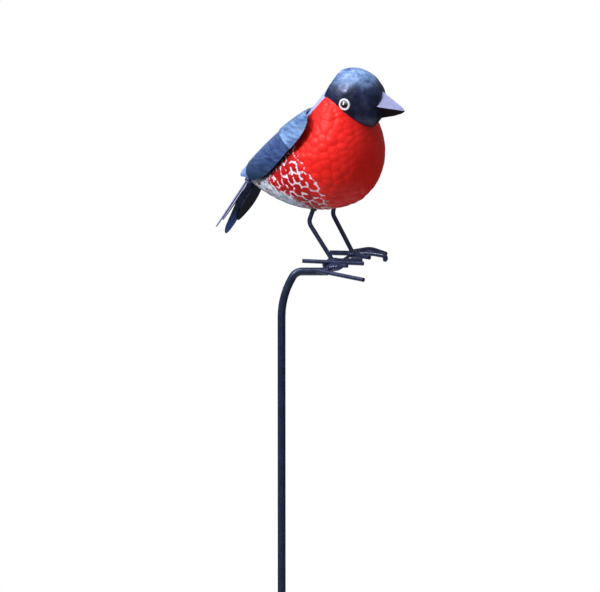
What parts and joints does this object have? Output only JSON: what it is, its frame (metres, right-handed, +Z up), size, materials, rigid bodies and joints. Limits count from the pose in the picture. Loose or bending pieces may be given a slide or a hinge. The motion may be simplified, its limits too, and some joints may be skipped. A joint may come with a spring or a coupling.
{
  "type": "metal bird garden stake",
  "caption": "Painted sheet-metal garden bird with a dark hood, red breast and blue wings, welded on a bent round steel stake.",
  "frame": {"origin": "on the axis of the stake's straight shaft, at soil level", "axes": "+Z up along the shaft, +X the way the bird's beak points, +Y the bird's left side"},
  "size_m": [0.205, 0.112, 1.0409],
  "materials": {
    "hood_paint": "satin enamel over hammered sheet steel, paler blue on the crown",
    "beak_paint": "satin enamel, dark under the gape",
    "eye_white": "gloss enamel",
    "eye_black": "gloss enamel",
    "body_paint": "satin enamel over hammered sheet steel, pale blue-white rubbed on the vent",
    "wing_paint": "satin enamel, hand-brushed lighter streaks",
    "tail_paint": "satin enamel",
    "wire_paint": "satin enamel on round steel wire",
    "weld_paint": "satin enamel over weld beads",
    "stake_paint": "satin powder coat on round steel bar"
  },
  "bodies": {
    "root": {"head_hood": "hood_paint", "nape_plate_left": "hood_paint", "nape_plate_right": "hood_paint", "beak_upper": "beak_paint", "beak_lower": "beak_paint", "eye_ring_left": "eye_white", "eye_ring_right": "eye_white", "eye_bead_left": "eye_black", "eye_bead_right": "eye_black", "body_shell_left": "body_paint", "body_shell_right": "body_paint", "wing_primary_left": "wing_paint", "wing_primary_right": "wing_paint", "wing_secondary_left": "wing_paint", "wing_secondary_right": "wing_paint", "wing_covert_left": "wing_paint", "wing_covert_right": "wing_paint", "tail_inner_left": "tail_paint", "tail_inner_right": "tail_paint", "tail_outer_left": "tail_paint", "tail_outer_right": "tail_paint", "leg_left": "wire_paint", "leg_right": "wire_paint", "toe_long_left": "wire_paint", "toe_long_right": "wire_paint", "toe_inner_left": "wire_paint", "toe_inner_right": "wire_paint", "toe_outer_left": "wire_paint", "toe_outer_right": "wire_paint", "toe_low_right": "wire_paint", "foot_link": "wire_paint", "perch_strut": "wire_paint", "foot_weld_left": "weld_paint", "foot_weld_right": "weld_paint", "perch_weld": "weld_paint", "tail_weld": "weld_paint", "hip_weld_left": "weld_paint", "hip_weld_right": "weld_paint", "wing_tack_1_left": "weld_paint", "wing_tack_1_right": "weld_paint", "wing_tack_2_left": "weld_paint", "wing_tack_2_right": "weld_paint", "belly_tack_1": "weld_paint", "belly_tack_2": "weld_paint", "belly_tack_3": "weld_paint", "stake_rod": "stake_paint"}
  },
  "joints": []
}
